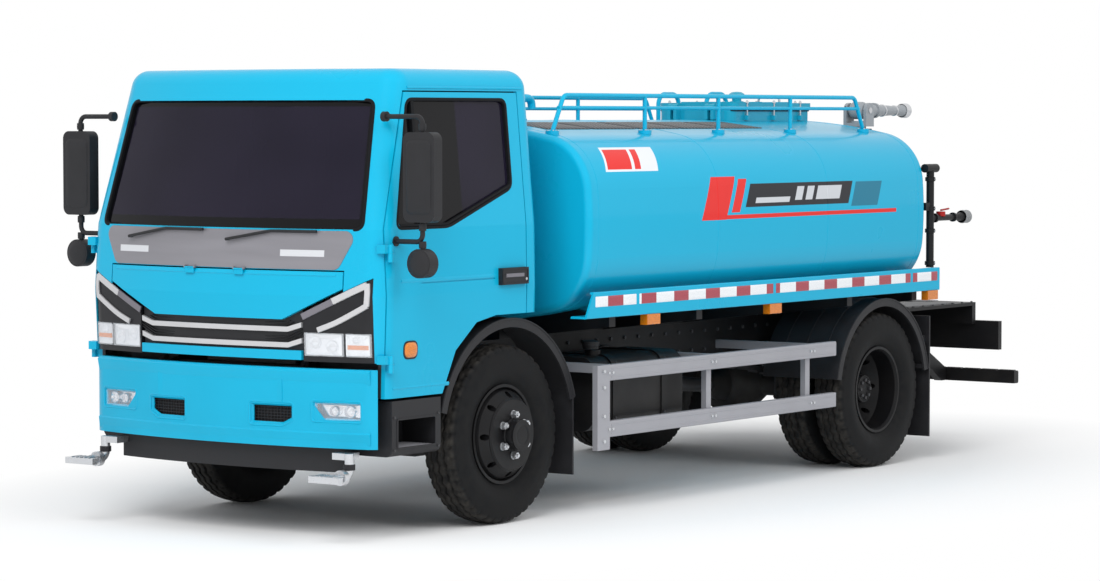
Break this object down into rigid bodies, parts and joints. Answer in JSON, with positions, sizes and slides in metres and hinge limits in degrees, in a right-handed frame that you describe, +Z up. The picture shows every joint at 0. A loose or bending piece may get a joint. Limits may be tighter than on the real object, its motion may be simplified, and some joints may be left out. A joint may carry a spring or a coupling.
{
  "type": "tanker truck",
  "caption": "Two-axle water tanker truck with a tilting cab, barrel tank, top handrails, rear pump and water monitor.",
  "frame": {"origin": "on the ground, at the middle of the truck's length and width", "axes": "+X to the truck's left side, -Y forward, +Z up"},
  "size_m": [2.58, 7.18, 2.45],
  "materials": {
    "blue_paint": "glossy sky blue",
    "turquoise_paint": "semi-gloss turquoise blue",
    "black_paint": "satin black",
    "axle_paint": "satin black on castings",
    "rim_paint": "satin black with bright nuts",
    "spring_steel": "dark rolled steel",
    "cast_block": "grey cast iron",
    "grey_paint": "semi-gloss grey",
    "guard_aluminium": "satin extruded",
    "bright_metal": "satin",
    "chrome_trim": "polished",
    "black_plastic": "grained black",
    "black_gloss": "gloss black",
    "grey_plastic": "semi-gloss mid grey",
    "tinted_glass": "dark tinted",
    "lamp_glass": "clear lens",
    "red_lens": "red lens",
    "amber_lens": "amber lens",
    "tyre_rubber": "matte black",
    "cab_trim": "dark grained",
    "seat_cloth": "dark woven cloth"
  },
  "bodies": {
    "chassis": {"frame": "black_paint", "front_axle": "axle_paint", "rear_axle": "axle_paint", "leaf_springs": "spring_steel", "powertrain": "cast_block", "bumper": "blue_paint", "bumper_apron": "black_plastic", "fog_lamps": "lamp_glass", "front_nozzles": "bright_metal", "front_mudguards": "black_plastic", "entry_steps": "black_plastic", "rear_mudguards": "black_plastic", "side_guards": "guard_aluminium", "fuel_tank": "black_paint", "battery_and_air": "black_paint", "water_tank": "blue_paint", "tank_subframe": "black_paint", "side_valances": "blue_paint", "top_handrails": "blue_paint", "manhole_housing": "turquoise_paint", "rear_platform": "black_paint", "rear_lamps": "red_lens", "rear_ladder": "blue_paint", "pump_and_pipes": "grey_paint", "rear_spray_posts": "black_paint", "side_markers": "amber_lens"},
    "knuckle_left": {"knuckle_left": "axle_paint"},
    "knuckle_right": {"knuckle_right": "axle_paint"},
    "tie_rod": {"tie_rod": "axle_paint"},
    "wheel_front_left": {"tyre_front_left": "tyre_rubber", "rim_front_left": "rim_paint"},
    "wheel_front_right": {"tyre_front_right": "tyre_rubber", "rim_front_right": "rim_paint"},
    "wheels_rear_left": {"tyres_rear_left": "tyre_rubber", "rims_rear_left": "rim_paint"},
    "wheels_rear_right": {"tyres_rear_right": "tyre_rubber", "rims_rear_right": "rim_paint"},
    "cab": {"cab_shell": "blue_paint", "cab_glass": "tinted_glass", "dashboard": "cab_trim", "seats": "seat_cloth", "headlamps": "black_gloss", "headlamp_lenses": "lamp_glass", "windscreen_apron": "grey_plastic", "wipers": "black_plastic"},
    "door_left": {"door_left": "blue_paint", "door_glass_left": "tinted_glass", "door_fittings_left": "black_plastic"},
    "door_right": {"door_right": "blue_paint", "door_glass_right": "tinted_glass", "door_fittings_right": "black_plastic"},
    "front_flap": {"front_flap": "blue_paint", "grille": "black_plastic", "grille_trims": "chrome_trim"},
    "manhole_lid": {"manhole_lid": "turquoise_paint"},
    "monitor_turret": {"monitor_turret": "grey_paint"},
    "monitor_barrel": {"monitor_barrel": "grey_paint"}
  },
  "joints": [
    {"name": "steer_left", "type": "hinge", "parent": "chassis", "child": "knuckle_left", "pos_m": [0.7, -2.19, 0.487], "axis": [0, 0, 1], "range_deg": [-35, 35]},
    {"name": "steer_right", "type": "hinge", "parent": "chassis", "child": "knuckle_right", "pos_m": [-0.7, -2.19, 0.487], "axis": [0, 0, 1], "range_deg": [-35, 35]},
    {"name": "tie_rod_pivot", "type": "hinge", "parent": "knuckle_left", "child": "tie_rod", "pos_m": [0.7, -1.99, 0.374], "axis": [0, 0, 1], "range_deg": [-35, 35]},
    {"name": "roll_front_left", "type": "hinge", "parent": "knuckle_left", "child": "wheel_front_left", "pos_m": [0.87, -2.19, 0.487], "axis": [1, 0, 0], "continuous": true},
    {"name": "roll_front_right", "type": "hinge", "parent": "knuckle_right", "child": "wheel_front_right", "pos_m": [-0.87, -2.19, 0.487], "axis": [1, 0, 0], "continuous": true},
    {"name": "roll_rear_left", "type": "hinge", "parent": "chassis", "child": "wheels_rear_left", "pos_m": [0.849, 1.61, 0.487], "axis": [1, 0, 0], "continuous": true},
    {"name": "roll_rear_right", "type": "hinge", "parent": "chassis", "child": "wheels_rear_right", "pos_m": [-0.849, 1.61, 0.487], "axis": [1, 0, 0], "continuous": true},
    {"name": "cab_tilt", "type": "hinge", "parent": "chassis", "child": "cab", "pos_m": [0, -3.335, 0.864], "axis": [1, 0, 0], "range_deg": [0, 45]},
    {"name": "door_left_hinge", "type": "hinge", "parent": "cab", "child": "door_left", "pos_m": [1.034, -3.268, 1.4], "axis": [0, 0, -1], "range_deg": [0, 65]},
    {"name": "door_right_hinge", "type": "hinge", "parent": "cab", "child": "door_right", "pos_m": [-1.034, -3.268, 1.4], "axis": [0, 0, 1], "range_deg": [0, 65]},
    {"name": "front_flap_hinge", "type": "hinge", "parent": "cab", "child": "front_flap", "pos_m": [0, -3.458, 1.407], "axis": [-1, 0, 0], "range_deg": [0, 60]},
    {"name": "manhole_lid_hinge", "type": "hinge", "parent": "chassis", "child": "manhole_lid", "pos_m": [0, 1.116, 2.257], "axis": [1, 0, 0], "range_deg": [0, 95]},
    {"name": "monitor_pan", "type": "hinge", "parent": "chassis", "child": "monitor_turret", "pos_m": [0.42, 2.47, 2.1], "axis": [0, 0, 1], "range_deg": [-90, 90]},
    {"name": "monitor_tilt", "type": "hinge", "parent": "monitor_turret", "child": "monitor_barrel", "pos_m": [0.42, 2.47, 2.2403], "axis": [1, 0, 0], "range_deg": [-8, 60]}
  ],
  "couplings": [
    {"joint": "steer_right", "follows": "steer_left", "ratio": 1},
    {"joint": "tie_rod_pivot", "follows": "steer_left", "ratio": -1}
  ]
}
